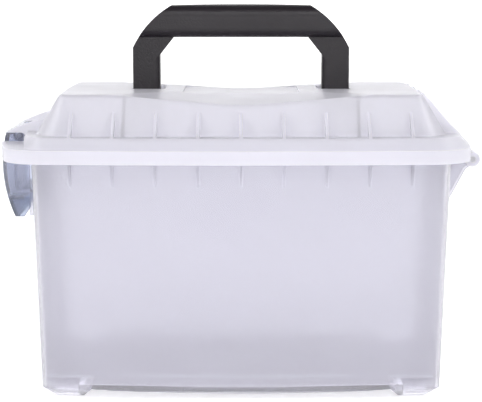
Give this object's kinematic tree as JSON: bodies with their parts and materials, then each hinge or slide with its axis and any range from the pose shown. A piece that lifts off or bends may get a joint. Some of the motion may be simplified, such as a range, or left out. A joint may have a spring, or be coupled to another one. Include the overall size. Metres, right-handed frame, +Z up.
{
  "type": "carrying case",
  "caption": "Translucent carrying case for art and sewing supplies: tapered tub on corner feet, domed lid hinged at one end, swinging latch at the other, folding handle.",
  "frame": {"origin": "on the plane that the feet stand on, in the middle of the case", "axes": "+X along the case from the latch to the hinge, +Y across it away from the long front side, +Z up"},
  "size_m": [0.2506, 0.1524, 0.2006],
  "materials": {
    "frosted_plastic": "frosted, milky and translucent",
    "smoke_plastic": "smoke blue, translucent and glossy",
    "black_plastic": "black with a fine pebble texture",
    "pin_plastic": "plain natural plastic"
  },
  "bodies": {
    "tub": {"tub": "frosted_plastic", "hinge_pin_near": "pin_plastic", "hinge_pin_far": "pin_plastic"},
    "lid": {"lid": "frosted_plastic", "latch_pin": "pin_plastic"},
    "latch": {"latch": "smoke_plastic"},
    "handle": {"handle": "black_plastic"}
  },
  "joints": [
    {"name": "lid_hinge", "type": "hinge", "parent": "tub", "child": "lid", "pos_m": [0.1213, 0, 0.1205], "axis": [0, 1, 0], "range_deg": [0, 180]},
    {"name": "latch_swing", "type": "hinge", "parent": "lid", "child": "latch", "pos_m": [-0.1164, 0, 0.1324], "axis": [0, 1, 0], "range_deg": [0, 95]},
    {"name": "handle_fold", "type": "hinge", "parent": "lid", "child": "handle", "pos_m": [0, 0, 0.1505], "axis": [-1, 0, 0], "range_deg": [0, 64]}
  ]
}
